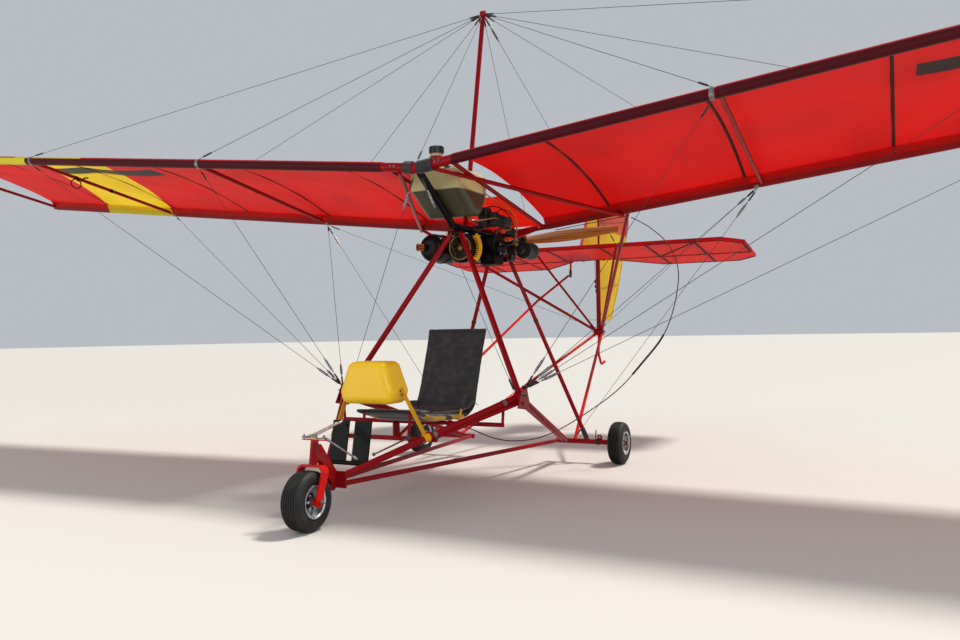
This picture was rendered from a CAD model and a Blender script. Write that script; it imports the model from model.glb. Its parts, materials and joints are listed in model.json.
"""Looks, light and camera for a cable-braced single-seat microlight parked on its wheels.

Metres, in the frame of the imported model: +X to port, +Y aft, +Z up, the ground at Z = 0.
Y is zero halfway between the front of the nose tyre and the back of the rudder.
"""
from __future__ import annotations

import json
import logging
import math
from collections.abc import Callable, Iterable, Iterator, Sequence
from contextlib import contextmanager
from dataclasses import dataclass, field
from enum import Enum
from typing import ClassVar

import bpy
from mathutils import Matrix, Vector

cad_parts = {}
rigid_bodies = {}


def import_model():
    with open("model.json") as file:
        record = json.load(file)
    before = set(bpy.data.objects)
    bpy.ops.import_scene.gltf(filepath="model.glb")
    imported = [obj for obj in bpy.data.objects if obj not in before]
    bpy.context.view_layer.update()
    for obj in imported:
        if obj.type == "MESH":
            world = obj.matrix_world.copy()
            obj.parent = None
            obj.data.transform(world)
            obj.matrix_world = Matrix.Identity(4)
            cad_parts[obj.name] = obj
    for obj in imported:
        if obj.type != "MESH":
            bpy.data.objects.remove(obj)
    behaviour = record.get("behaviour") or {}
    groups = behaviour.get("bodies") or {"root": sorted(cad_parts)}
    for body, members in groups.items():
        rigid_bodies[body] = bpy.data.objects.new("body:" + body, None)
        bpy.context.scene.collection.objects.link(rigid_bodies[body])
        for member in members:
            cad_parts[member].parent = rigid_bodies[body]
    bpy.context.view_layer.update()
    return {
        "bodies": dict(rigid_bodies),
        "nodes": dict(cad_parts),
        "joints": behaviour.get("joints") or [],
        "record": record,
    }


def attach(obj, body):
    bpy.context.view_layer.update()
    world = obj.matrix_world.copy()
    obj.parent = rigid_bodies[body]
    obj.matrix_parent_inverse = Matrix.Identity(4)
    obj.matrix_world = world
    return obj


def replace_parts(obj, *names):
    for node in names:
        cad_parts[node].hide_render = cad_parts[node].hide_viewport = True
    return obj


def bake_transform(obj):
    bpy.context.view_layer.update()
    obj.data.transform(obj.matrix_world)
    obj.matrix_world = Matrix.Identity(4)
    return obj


LOG = logging.getLogger("microlight")
Point = tuple[float, float, float] | Vector
Flat = tuple[float, float]
Piece = bpy.types.Object
Socket = bpy.types.NodeSocket

# Driving dimensions
MID_Y = 2.565
LE_Y, LE_Z = 1.047 - MID_Y, 1.848
TE_Y, TE_Z = 2.448 - MID_Y, 1.611
RISE = 0.116
CLAMPS = (1.668, 3.338)
CLOTH = 0.0012
SIDES = (1, -1)

# Settings of nodes that occur often
RGBA = {"output": 2, "data_type": "RGBA"}
TIMES = {"operation": "MULTIPLY"}
LESS = {"operation": "SUBTRACT"}
MOST = {"operation": "MAXIMUM"}


# Small tools
def linear(code: str) -> tuple[float, float, float, float]:
    """Turn an sRGB hex colour into linear values.

    Args:
        code: The colour as six hex digits.

    Returns:
        Red, green, blue and alpha for a colour socket.
    """
    parts = [int(code[i:i + 2], 16) / 255 for i in (0, 2, 4)]
    red, green, blue = (c / 12.92 if c <= 0.04045 else ((c + 0.055) / 1.055) ** 2.4 for c in parts)
    return red, green, blue, 1.0


def select(*pieces: Piece) -> None:
    """Select nothing but some pieces, and make the first of them active.

    Args:
        *pieces: The pieces, or none.
    """
    bpy.ops.object.select_all(action="DESELECT")
    for piece in reversed(pieces):
        piece.select_set(True)
        bpy.context.view_layer.objects.active = piece


@contextmanager
def editing(piece: Piece, pick: str = "SELECT") -> Iterator[None]:
    """Hold a piece in edit mode while a block runs.

    Args:
        piece: The piece.
        pick: What is done with its selection first, or an empty text.
    """
    select(piece)
    bpy.ops.object.mode_set(mode="EDIT")
    if pick:
        bpy.ops.mesh.select_all(action=pick)
    yield
    bpy.ops.object.mode_set(mode="OBJECT")


def settle(name: str) -> Piece:
    """Name the object that an operator made and put its place into its mesh.

    Args:
        name: Its name.

    Returns:
        The object, now at the origin.
    """
    piece = bpy.context.object
    piece.name = name
    select(piece)
    bpy.ops.object.transform_apply(location=True, rotation=True, scale=True)
    return piece


def modify(piece: Piece, kind: str, **settings: float | str | bool) -> Piece:
    """Add a modifier to a piece and apply it.

    Args:
        piece: The piece.
        kind: The modifier's type name.
        **settings: The modifier's properties.

    Returns:
        The same piece.
    """
    select(piece)
    changer = piece.modifiers.new(kind.title(), kind)
    for name, value in settings.items():
        setattr(changer, name, value)
    bpy.ops.object.modifier_apply(modifier=changer.name)
    return piece


def smooth(piece: Piece, degrees: float = 35.0) -> Piece:
    """Shade a piece smooth, except at edges sharper than an angle.

    Args:
        piece: The piece.
        degrees: The angle.

    Returns:
        The same piece.
    """
    select(piece)
    bpy.ops.object.shade_smooth_by_angle(angle=math.radians(degrees))
    return piece


def mend(piece: Piece, doubles: float = 1e-5) -> Piece:
    """Merge a piece's doubled points and turn all faces outwards.

    Args:
        piece: The piece.
        doubles: How far apart doubled points may lie, 0 to merge none.

    Returns:
        The same piece.
    """
    with editing(piece):
        if doubles:
            bpy.ops.mesh.remove_doubles(threshold=doubles)
        bpy.ops.mesh.normals_make_consistent(inside=False)
    return piece


def joined(name: str, pieces: Sequence[Piece]) -> Piece:
    """Join pieces into one object.

    Args:
        name: The object's name.
        pieces: The pieces, or a single one, which gets the name.

    Returns:
        The first piece, which holds them all.
    """
    if len(pieces) > 1:
        select(*pieces)
        bpy.ops.object.join()
    pieces[0].name = name
    return pieces[0]


def row(x: float, y: float, z: float) -> tuple[float, float, float]:
    """A point in metres from millimetres counted aft of the nose wheel's axle."""
    return x / 1000, y / 1000 - MID_Y, z / 1000


def spot(x: float, y: float, z: float) -> Vector:
    """The same point as a vector."""
    return Vector(row(x, y, z))


def polar(radius: float, turn: float) -> Flat:
    """A point on a circle about the origin."""
    return radius * math.cos(turn), radius * math.sin(turn)


def line(name: str, points: Sequence[Point], radius: float, smooth_run: bool = True, sides: int = 2) -> Piece:
    """A round tube along points, as a curve.

    Args:
        name: The piece's name.
        points: Control points, in metres.
        radius: The tube's radius.
        smooth_run: True for a NURBS line, False for straight runs.
        sides: The bevel's resolution.

    Returns:
        A curve object.
    """
    data = bpy.data.curves.new(name, "CURVE")
    data.dimensions = "3D"
    data.bevel_depth = radius
    data.bevel_resolution = sides
    data.use_fill_caps = True
    spline = data.splines.new("NURBS" if smooth_run else "POLY")
    spline.points.add(len(points) - 1)
    for place, point in zip(spline.points, points):
        place.co = (*point, 1.0)
    if smooth_run:
        spline.order_u = 3
        spline.use_endpoint_u = True
        spline.resolution_u = 8
    piece = bpy.data.objects.new(name, data)
    bpy.context.scene.collection.objects.link(piece)
    return piece


def meshed(curve: Piece) -> Piece:
    """Turn a curve into a mesh.

    Args:
        curve: The curve object.

    Returns:
        The mesh object, under the same name.
    """
    name = curve.name
    select(curve)
    bpy.ops.object.convert(target="MESH")
    piece = bpy.context.view_layer.objects.active
    piece.name = name
    return piece


def hose(name: str, points: Iterable[Point], radius: float, smooth_run: bool = True, sides: int = 2) -> Piece:
    """A round tube along points, made a mesh; its arguments are those of line."""
    return smooth(meshed(line(name, list(points), radius, smooth_run, sides)), 50)


def turned(name: str, outline: Sequence[Flat], centre: Point, axis: Point, steps: int = 48) -> Piece:
    """A piece turned about an axis, as on a lathe.

    Args:
        name: The piece's name.
        outline: (along, radius) pairs, in metres; one with both ends off the axis is closed into a ring.
        centre: A point on the axis.
        axis: The axis's direction.
        steps: How many steps make a full turn.

    Returns:
        The closed mesh.
    """
    along = Vector(axis).normalized()
    side = along.cross(Vector((0, 0, 1)) if abs(along.z) < 0.9 else Vector((1, 0, 0))).normalized()
    closing = outline[:1] if outline[0][1] and outline[-1][1] else []
    points = [Vector(centre) + along * far + side * out for far, out in [*outline, *closing]]
    piece = meshed(line(name, points, 0.0, False))
    with editing(piece):
        bpy.ops.mesh.spin(steps=steps, angle=math.tau, center=centre, axis=along)
    return smooth(mend(piece))


def band(start: float, end: float, inner: float, outer: float) -> list[Flat]:
    """The outline of a plain ring, between two places on its axis and two radii."""
    return [(start, inner), (start, outer), (end, outer), (end, inner)]


def bevelled(piece: Piece, width: float, segments: int) -> Piece:
    """Round every edge of a piece.

    Args:
        piece: The piece.
        width: The rounded edge's width.
        segments: Steps in each rounded edge.

    Returns:
        The same piece.
    """
    with editing(piece):
        bpy.ops.mesh.bevel(offset=width, segments=segments, affect="EDGES")
    return piece


def block(name: str, centre: Point, size: Point, bevel: float, segments: int = 2,
          turn: Point = (0.0, 0.0, 0.0)) -> Piece:
    """A plate or block with rounded edges.

    Args:
        name: The piece's name.
        centre: Its middle.
        size: Its length along X, Y and Z before it is turned.
        bevel: The width of its rounded edges.
        segments: Steps in each rounded edge.
        turn: Euler angles, in degrees.

    Returns:
        The finished mesh.
    """
    select()
    bpy.ops.mesh.primitive_cube_add(size=1, location=centre, rotation=[math.radians(a) for a in turn])
    bpy.context.object.scale = size
    return smooth(bevelled(settle(name), bevel, segments))


def bolt(seat: Point, axis: Point, across: float = 0.013, shank: float = 0.012) -> Piece:
    """A hexagon bolt end: washer, nut and a stub of thread.

    Args:
        seat: Where the washer lies.
        axis: The way the bolt stands out.
        across: The nut's width across corners.
        shank: How far the thread stands out of the nut.

    Returns:
        The finished mesh.
    """
    half, way = across / 2, Vector(axis).normalized()
    tip = half * 1.2 + shank
    select()
    bpy.ops.mesh.primitive_cylinder_add(vertices=6, radius=half, depth=half * 1.1,
                                        location=Vector(seat) + way * half * 0.75,
                                        rotation=way.to_track_quat("Z", "Y").to_euler())
    nut = bevelled(settle("nut"), half * 0.12, 1)
    washer = turned("washer", band(0, half * 0.2, half * 0.5, half * 1.35), seat, way, 16)
    thread = [(0, 0), (0, half * 0.5), (tip - half * 0.15, half * 0.5), (tip, half * 0.35), (tip, 0)]
    stub = turned("stub", thread, seat, way, 10)
    return joined("bolt", [nut, washer, stub])


def drop_faces(piece: Piece, unwanted: Callable[[Vector], bool]) -> Piece:
    """Delete the faces whose centres meet a test.

    Args:
        piece: The piece.
        unwanted: The test.

    Returns:
        The same piece.
    """
    with editing(piece, "DESELECT"):
        bpy.ops.mesh.select_mode(type="FACE")
    for face in piece.data.polygons:
        face.select = unwanted(face.center)
    with editing(piece, ""):
        bpy.ops.mesh.delete(type="FACE")
        bpy.ops.mesh.select_mode(type="VERT")
    return piece


def clip(centre: Point, axis: Point, radius: float, width: float = 0.009) -> Piece:
    """A band clip round a tube or hose, with its screw.

    Args:
        centre: The band's middle.
        axis: The tube's direction.
        radius: The tube's radius, which the band encloses.
        width: The band's width.

    Returns:
        The finished mesh.
    """
    side = Vector(axis).normalized().cross(Vector((0, 0, 1))).normalized()
    ring = turned("clip", band(-width / 2, width / 2, radius, radius + 0.0015), centre, axis, 32)
    return joined("clip", [ring, bolt(Vector(centre) + side * (radius + 0.001), side, 0.010, 0.003)])


def rod_end(centre: Point, axis: Point) -> Piece:
    """A ball joint's eye: a ring with a ball and a stub in it.

    Args:
        centre: The ball's middle.
        axis: The pin's direction.

    Returns:
        The finished mesh.
    """
    ring = [(-0.0045, 0.0062), (-0.0045, 0.0105), (0, 0.0115), (0.0045, 0.0105), (0.0045, 0.0062)]
    ball = [(-0.006, 0), (-0.006, 0.004), (0, 0.006), (0.006, 0.004), (0.006, 0)]
    return joined("rod_end", [turned("eye", ring, centre, axis, 24), turned("ball", ball, centre, axis, 20)])


def cloth_grid(name: str, across: Sequence[float], along: Sequence[float],
               place: Callable[[float, float], Point]) -> Piece:
    """A sheet whose grid points are laid one by one.

    Args:
        name: The piece's name.
        across: The first parameter's stations.
        along: The second parameter's stations.
        place: Gives a grid point's place from its two parameters.

    Returns:
        The sheet, with a UV map of the two parameters in metres.
    """
    select()
    wide, deep = len(across) - 1, len(along) - 1
    bpy.ops.mesh.primitive_grid_add(x_subdivisions=wide, y_subdivisions=deep, size=2)
    piece = bpy.context.object
    piece.name = name
    mesh = piece.data
    layer = mesh.uv_layers.active or mesh.uv_layers.new()
    spots = [(across[round((point.co.x + 1) / 2 * wide)], along[round((point.co.y + 1) / 2 * deep)])
             for point in mesh.vertices]
    for loop in mesh.loops:
        layer.data[loop.index].uv = spots[loop.vertex_index]
    for point, pair in zip(mesh.vertices, spots):
        point.co = place(*pair)
    mesh.update()
    return piece


def plate(name: str, across: Sequence[float], along: Sequence[float],
          place: Callable[[float, float], Point], thick: float) -> Piece:
    """A closed plate whose middle is a cloth_grid; its last argument is its thickness."""
    return mend(modify(cloth_grid(name, across, along, place), "SOLIDIFY", thickness=thick, offset=0))


def spread(start: float, end: float, count: int, extra: Iterable[float] = ()) -> list[float]:
    """Evenly spaced stations, with a few more that must be hit.

    Args:
        start: The first station.
        end: The last station.
        count: How many steps lie between them.
        extra: Stations that take the place of any other within 6 mm.

    Returns:
        The stations in order.
    """
    made = [start + (end - start) * i / count for i in range(count + 1)]
    for value in extra:
        made = [m for m in made if abs(m - value) > 0.006] + [value]
    return sorted(made)


# Finishes
class Slot(Enum):
    """The record's material slots."""

    RED_TUBE = "red_tube"
    BRIGHT_RED = "bright_red"
    BLACK_METAL = "black_metal"
    ENGINE_METAL = "engine_metal"
    RED_CLOTH = "red_cloth"
    YELLOW_CLOTH = "yellow_cloth"
    TANK_PLASTIC = "tank_plastic"
    YELLOW_PLASTIC = "yellow_plastic"
    YELLOW_METAL = "yellow_metal"
    TYRE_RUBBER = "tyre_rubber"
    RIM_ALLOY = "rim_alloy"
    STEEL = "steel"
    BLADE_WOOD = "blade_wood"
    BLACK_PLASTIC = "black_plastic"
    BLACK_WEBBING = "black_webbing"
    CABLE_RUBBER = "cable_rubber"


class Brush:
    """Adds nodes to one material's tree."""

    def __init__(self, tree: bpy.types.NodeTree, grains: Sequence[Flat]) -> None:
        """Start with the object's own coordinates and a finish's noises.

        Args:
            tree: The material's node tree.
            grains: Each noise's blotch size in millimetres, and its detail.
        """
        self.tree = tree
        self.place = self.add("TexCoord", output="Object")
        self.noises = [self.add("TexNoise", {"Vector": self.place, "Scale": 1000 / size, "Detail": detail})
                       for size, detail in grains]

    def add(self, kind: str, links: dict | Sequence = (), output: int | str = 0, **settings: str) -> Socket:
        """Add one shader node with its settings and links.

        Args:
            kind: The node's type name without its first part.
            links: Inputs, each with a value, a hex colour or a socket; a plain sequence counts them from 0.
            output: The output to hand back.
            **settings: Properties of the node itself.

        Returns:
            That output.
        """
        made = self.tree.nodes.new("ShaderNode" + kind)
        for name, value in settings.items():
            setattr(made, name, value)
        for key, value in (links if isinstance(links, dict) else dict(enumerate(links))).items():
            if isinstance(value, Socket):
                self.tree.links.new(value, made.inputs[key])
            else:
                made.inputs[key].default_value = linear(value) if isinstance(value, str) else value
        return made.outputs[output]


@dataclass(frozen=True)
class Finish:
    """What every finish shares: a name, a colour, a gloss and its noises."""

    name: str
    colour: str
    roughness: float
    grains: ClassVar[Sequence[Flat]] = ()

    def build(self) -> bpy.types.Material:
        """Make the material and its node tree.

        Returns:
            The material.
        """
        made = bpy.data.materials.new(self.name)
        made.use_nodes = True
        tree = made.node_tree
        tree.nodes.clear()
        out = tree.nodes.new("ShaderNodeOutputMaterial")
        tree.links.new(self.shade(Brush(tree, self.grains)), out.inputs["Surface"])
        return made

    def shade(self, brush: Brush) -> Socket:
        """Build the surface with a brush and return it; each finish has its own."""
        raise NotImplementedError


@dataclass(frozen=True)
class Enamel(Finish):
    """Stoved enamel on drawn tube: a fine orange peel, chips down to the primer, and dust near the ground."""

    chips: float = 0.5
    dust: str = "8A7A5C"
    coat: float = 0.5
    grains: ClassVar[Sequence[Flat]] = ((260, 3), (9, 6), (3, 1))

    def shade(self, brush: Brush) -> Socket:
        """Enamel over steel tube.

        Args:
            brush: Adds the nodes.

        Returns:
            The surface.
        """
        film, specks, peel = brush.noises
        worn = brush.add("MapRange", (specks, 0.70 - 0.05 * self.chips, 0.78, 0, self.chips))
        grime = brush.add("MapRange", (brush.add("SeparateXYZ", (brush.place,), 2), 0.0, 0.45, 0.16, 0.0))
        grime = brush.add("Math", (grime, film), **TIMES)
        uneven = brush.add("MapRange", (film, 0.3, 0.7, 0, 0.16))
        shade = self.colour
        for share, coat in ((uneven, "1E0304"), (grime, self.dust), (worn, "3B2A26")):
            shade = brush.add("Mix", {0: share, 6: shade, 7: coat}, **RGBA)
        rough = brush.add("MapRange", (film, 0.3, 0.7, self.roughness * 0.8, self.roughness * 1.35))
        relief = brush.add("Bump", {"Height": peel, "Distance": 0.00025, "Strength": 0.25})
        return brush.add("BsdfPrincipled", {
            "Base Color": shade, "Roughness": rough, "Coat Weight": self.coat, "Coat Roughness": 0.12,
            "IOR": 1.5, "Specular IOR Level": 0.02, "Normal": relief})


@dataclass(frozen=True)
class Sailcloth(Finish):
    """Woven polyester sailcloth, resin-filled: a satin face that lets the sky's light through.

    Threads are 0.4 mm apart, too fine to show, so the weave is drawn at 4 mm.
    """

    glow: str = "FF1408"
    through: float = 0.5
    weave_mm: float = 4.0
    grains: ClassVar[Sequence[Flat]] = ((420, 4), (160, 2))

    def shade(self, brush: Brush) -> Socket:
        """Cloth that is lit from both sides.

        Args:
            brush: Adds the nodes.

        Returns:
            The surface.
        """
        stain, slack = brush.noises
        threads = [brush.add("TexWave", {"Vector": brush.place, "Scale": 1000 / self.weave_mm / 6.28,
                                         "Distortion": 0.3}, 1, bands_direction=way) for way in "XY"]
        stained = brush.add("MapRange", (stain, 0.35, 0.7, 0, 0.22))
        base = brush.add("Mix", {0: stained, 6: self.colour, 7: "5E0806"}, **RGBA)
        bump = brush.add("Bump", {"Height": brush.add("Math", threads, **TIMES), "Distance": 0.00025,
                                  "Strength": 0.25})
        bump = brush.add("Bump", {"Height": slack, "Distance": 0.012, "Strength": 0.35, "Normal": bump})
        face = brush.add("BsdfPrincipled", {
            "Base Color": base, "Roughness": self.roughness, "Sheen Weight": 0.03, "Sheen Roughness": 0.5,
            "IOR": 1.5, "Specular IOR Level": 0.2, "Normal": bump})
        dimmed = brush.add("MapRange", (stain, 0.3, 0.75, 0, 0.3))
        glow = brush.add("Mix", {0: dimmed, 6: self.glow, 7: self.colour}, **RGBA)
        lit = brush.add("BsdfTranslucent", {"Color": glow, "Normal": bump})
        return brush.add("MixShader", (self.through, face, lit))


@dataclass(frozen=True)
class TwoTone(Sailcloth):
    """Sailcloth of one colour low on the tail and another above a seam."""

    upper: str = "E4574A"
    upper_glow: str = "FF6A58"
    seam_z: float = 1.82

    def shade(self, brush: Brush) -> Socket:
        """Two cloths sewn along a level seam.

        Args:
            brush: Adds the nodes.

        Returns:
            The surface.
        """
        low = Sailcloth.shade(self, brush)
        top = Sailcloth("", self.upper, self.roughness, self.upper_glow, self.through).shade(brush)
        height = brush.add("SeparateXYZ", (brush.place,), 2)
        over = brush.add("MapRange", (height, self.seam_z - 0.001, self.seam_z + 0.001, 0, 1))
        return brush.add("MixShader", (over, low, top))


@dataclass(frozen=True)
class PanelledSail(Sailcloth):
    """Sailcloth with a slanted panel of a second colour, and doubled cloth that no light passes through.

    The doubled parts are the sleeves round both tubes and the patch under the spoiler.
    """

    panel: str = "EBCB1E"
    panel_glow: str = "FFF04A"
    inner_x: Flat = (2.79, 3.365)
    outer_x: Flat = (3.51, 4.175)
    sleeve_x: float = 3.39
    patch_x: Flat = (2.56, 3.70)
    patch_aft: Flat = (0.404, 0.552)

    def shade(self, brush: Brush) -> Socket:
        """Two cloths and their doubled parts.

        Args:
            brush: Adds the nodes.

        Returns:
            The surface.
        """
        def over(first: Socket | float, second: Socket | float) -> Socket:
            """1 where the first value is above the second, or else 0."""
            gap = brush.add("Math", (first, second), **LESS)
            return brush.add("MapRange", (gap, -0.001, 0.001, 0, 1))

        x, aft, z = brush.add("SeparateXYZ", (brush.place,)).node.outputs
        out = brush.add("Math", (x,), operation="ABSOLUTE")
        height = brush.add("Math", (z, brush.add("Math", (out, RISE), **TIMES)), **LESS)
        height = brush.add("Math", (height, LE_Z), **LESS)
        near, far = (brush.add("MapRange", (aft, LE_Y, TE_Y, *pair)) for pair in (self.inner_x, self.outer_x))
        sleeve = brush.add("Math", (over(LE_Y + 0.045, aft), over(0.018, height)), **TIMES)
        panel = brush.add("Math", (over(out, near), over(far, out)), **TIMES)
        panel = brush.add("Mix", {0: sleeve, 2: panel, 3: over(out, self.sleeve_x)})
        (inner, outer), (front, back) = self.patch_x, self.patch_aft
        patch = over(out, inner)
        for within in (over(outer, out), over(aft, LE_Y + front), over(LE_Y + back, aft)):
            patch = brush.add("Math", (patch, within), **TIMES)
        red, yellow = (brush.add("Mix", {0: sleeve, 6: single, 7: double}, **RGBA)
                       for single, double in (("7A0607", "45040F"), ("B8AC1E", "CFC52C")))
        dark = brush.add("Mix", {0: panel, 6: "240302", 7: "3A350A"}, **RGBA)
        shade = brush.add("Mix", {0: panel, 6: red, 7: yellow}, **RGBA)
        shade = brush.add("Mix", {0: patch, 6: shade, 7: dark}, **RGBA)
        relief = brush.add("Bump", {"Height": brush.noises[1], "Distance": 0.006, "Strength": 0.3})
        thick = brush.add("BsdfPrincipled", {"Base Color": shade, "Roughness": self.roughness, "IOR": 1.4,
                                             "Specular IOR Level": 0.2, "Normal": relief})
        other = Sailcloth("", self.panel, self.roughness, self.panel_glow, self.through).shade(brush)
        thin = brush.add("MixShader", (panel, Sailcloth.shade(self, brush), other))
        opaque = brush.add("Math", (sleeve, over(aft, TE_Y - 0.036)), **MOST)
        return brush.add("MixShader", (brush.add("Math", (opaque, patch), **MOST), thin, thick))


@dataclass(frozen=True)
class Metal(Finish):
    """Bare metal under a thin film of dirt.

    Sand-cast aluminium is grainy and oily, spun aluminium has a soft broken shine, and galvanised wire and
    steel fittings are a dull grey.
    """

    metal: float = 0.9
    dirt: str = "2A2B2C"
    film: tuple[float, float, float] = (0.4, 0.7, 0.6)
    relief: Flat = (0.1, 0.4)
    oily: float = 1.0
    grains: ClassVar[Sequence[Flat]] = ((14, 4), (1.2, 1))

    def shade(self, brush: Brush) -> Socket:
        """Metal with stains.

        Args:
            brush: Adds the nodes.

        Returns:
            The surface.
        """
        blotch, grain = brush.noises
        low, high, most = self.film
        depth_mm, strength = self.relief
        stained = brush.add("MapRange", (blotch, low, high, 0, most))
        shade = brush.add("Mix", {0: stained, 6: self.colour, 7: self.dirt}, **RGBA)
        rough = self.roughness
        if self.oily < 1:
            rough = brush.add("MapRange", (blotch, 0.4, 0.7, self.roughness, self.roughness * self.oily))
        relief = brush.add("Bump", {"Height": grain, "Distance": depth_mm / 1000, "Strength": strength})
        return brush.add("BsdfPrincipled", {"Base Color": shade, "Metallic": self.metal, "Roughness": rough,
                                            "Normal": relief})


@dataclass(frozen=True)
class Casting(Metal):
    """Sand-cast aluminium."""

    metal: float = 0.7
    dirt: str = "14110D"
    film: tuple[float, float, float] = (0.42, 0.72, 0.75)
    relief: Flat = (0.4, 0.5)
    oily: float = 0.55
    grains: ClassVar[Sequence[Flat]] = ((45, 5), (2.2, 4))


@dataclass(frozen=True)
class SpunAlloy(Metal):
    """Turned aluminium with road dirt in its pores."""

    metal: float = 1.0
    dirt: str = "4A4641"
    film: tuple[float, float, float] = (0.45, 0.75, 0.55)
    relief: Flat = (0.08, 0.4)
    grains: ClassVar[Sequence[Flat]] = ((30, 5), (1.6, 2))


@dataclass(frozen=True)
class Rubber(Finish):
    """Vulcanised black rubber: dull, with a dusty bloom."""

    dust: str = "5A5347"
    grains: ClassVar[Sequence[Flat]] = ((60, 5), (1.5, 3))

    def shade(self, brush: Brush) -> Socket:
        """Black rubber with a grey bloom.

        Args:
            brush: Adds the nodes.

        Returns:
            The surface.
        """
        film, grain = brush.noises
        bloom = brush.add("MapRange", (film, 0.42, 0.8, 0.02, 0.5))
        shade = brush.add("Mix", {0: bloom, 6: self.colour, 7: self.dust}, **RGBA)
        rough = brush.add("MapRange", (film, 0.3, 0.7, self.roughness * 0.85, min(1, self.roughness * 1.2)))
        relief = brush.add("Bump", {"Height": grain, "Distance": 0.0003, "Strength": 0.4})
        return brush.add("BsdfPrincipled", {"Base Color": shade, "Roughness": rough, "IOR": 1.52,
                                            "Specular IOR Level": 0.35, "Normal": relief})


@dataclass(frozen=True)
class Moulding(Finish):
    """Moulded polyethylene: waxy, evenly coloured, with a fine tool grain and scuffs."""

    scuff: str = "FFFFFF"
    inner: float = 0.0
    grains: ClassVar[Sequence[Flat]] = ((70, 4), (12, 8), (2.4, 2))

    def shade(self, brush: Brush) -> Socket:
        """Waxy plastic.

        Args:
            brush: Adds the nodes.

        Returns:
            The surface.
        """
        film, scratches, grain = brush.noises
        marks = brush.add("MapRange", (scratches, 0.66, 0.8, 0, 0.35))
        shade = brush.add("Mix", {0: marks, 6: self.colour, 7: self.scuff}, **RGBA)
        rough = brush.add("MapRange", (film, 0.3, 0.7, self.roughness * 0.8, self.roughness * 1.3))
        relief = brush.add("Bump", {"Height": grain, "Distance": 0.00012, "Strength": 0.3})
        return brush.add("BsdfPrincipled", {
            "Base Color": shade, "Roughness": rough, "IOR": 1.51, "Subsurface Weight": self.inner,
            "Subsurface Radius": (0.02, 0.012, 0.004), "Subsurface Scale": 0.6, "Normal": relief})


@dataclass(frozen=True)
class FuelTankWall(Finish):
    """Natural polyethylene, so thin that the fuel's level shows as a darker band through the wall."""

    fuel: str = "3A3B22"
    level_z: float = 1.75
    grains: ClassVar[Sequence[Flat]] = ((90, 3), (5, 2))

    def shade(self, brush: Brush) -> Socket:
        """Milky wall with fuel behind it.

        Args:
            brush: Adds the nodes.

        Returns:
            The surface.
        """
        milky, grain = brush.noises
        height = brush.add("SeparateXYZ", (brush.place,), 2)
        wet = brush.add("MapRange", (height, self.level_z - 0.004, self.level_z + 0.004, 1, 0))
        shade = self.colour
        for share, coat in ((brush.add("MapRange", (milky, 0.3, 0.7, 0, 0.3)), "8E7C50"), (wet, self.fuel)):
            shade = brush.add("Mix", {0: share, 6: shade, 7: coat}, **RGBA)
        relief = brush.add("Bump", {"Height": grain, "Distance": 0.0002, "Strength": 0.3})
        return brush.add("BsdfPrincipled", {
            "Base Color": shade, "Roughness": self.roughness, "IOR": 1.51, "Subsurface Weight": 0.25,
            "Subsurface Radius": (0.03, 0.025, 0.01), "Subsurface Scale": 0.5, "Normal": relief})


@dataclass(frozen=True)
class Laminate(Finish):
    """Varnished laminated beech: long stripes of grain along the blade under a clear gloss."""

    dark: str = "7A3A10"

    def shade(self, brush: Brush) -> Socket:
        """Wood grain along X.

        Args:
            brush: Adds the nodes.

        Returns:
            The surface.
        """
        long = brush.add("Mapping", {"Vector": brush.place, "Scale": (1.5, 60, 60)})
        grain = brush.add("TexNoise", {"Vector": long, "Scale": 2.0, "Detail": 6.0})
        layers = brush.add("TexWave", {"Vector": brush.place, "Scale": 18.0, "Distortion": 1.0}, 1,
                           bands_direction="Z")
        shade = self.colour
        for share, coat in ((brush.add("MapRange", (grain, 0.35, 0.7, 0, 0.8)), self.dark),
                            (brush.add("MapRange", (layers, 0.55, 0.9, 0, 0.3)), "E0A050")):
            shade = brush.add("Mix", {0: share, 6: shade, 7: coat}, **RGBA)
        relief = brush.add("Bump", {"Height": grain, "Distance": 0.0001, "Strength": 0.2})
        return brush.add("BsdfPrincipled", {"Base Color": shade, "Roughness": self.roughness,
                                            "Coat Weight": 0.8, "Coat Roughness": 0.08, "Normal": relief})


@dataclass(frozen=True)
class Webbing(Finish):
    """Woven nylon and coated canvas: matt, with ribs 3 mm apart and a slight sheen at the edges."""

    rib_mm: float = 3.0
    grains: ClassVar[Sequence[Flat]] = ((55, 4),)

    def shade(self, brush: Brush) -> Socket:
        """Ribbed cloth.

        Args:
            brush: Adds the nodes.

        Returns:
            The surface.
        """
        ribs = brush.add("TexWave", {"Vector": brush.place, "Scale": 1000 / self.rib_mm / 6.28,
                                     "Distortion": 0.4}, 1, bands_direction="DIAGONAL")
        wear = brush.add("MapRange", (brush.noises[0], 0.4, 0.75, 0, 0.45))
        shade = brush.add("Mix", {0: wear, 6: self.colour, 7: "4A4744"}, **RGBA)
        relief = brush.add("Bump", {"Height": ribs, "Distance": 0.0005, "Strength": 0.5})
        return brush.add("BsdfPrincipled", {"Base Color": shade, "Roughness": self.roughness,
                                            "Sheen Weight": 0.3, "Sheen Roughness": 0.4, "Normal": relief})


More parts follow.
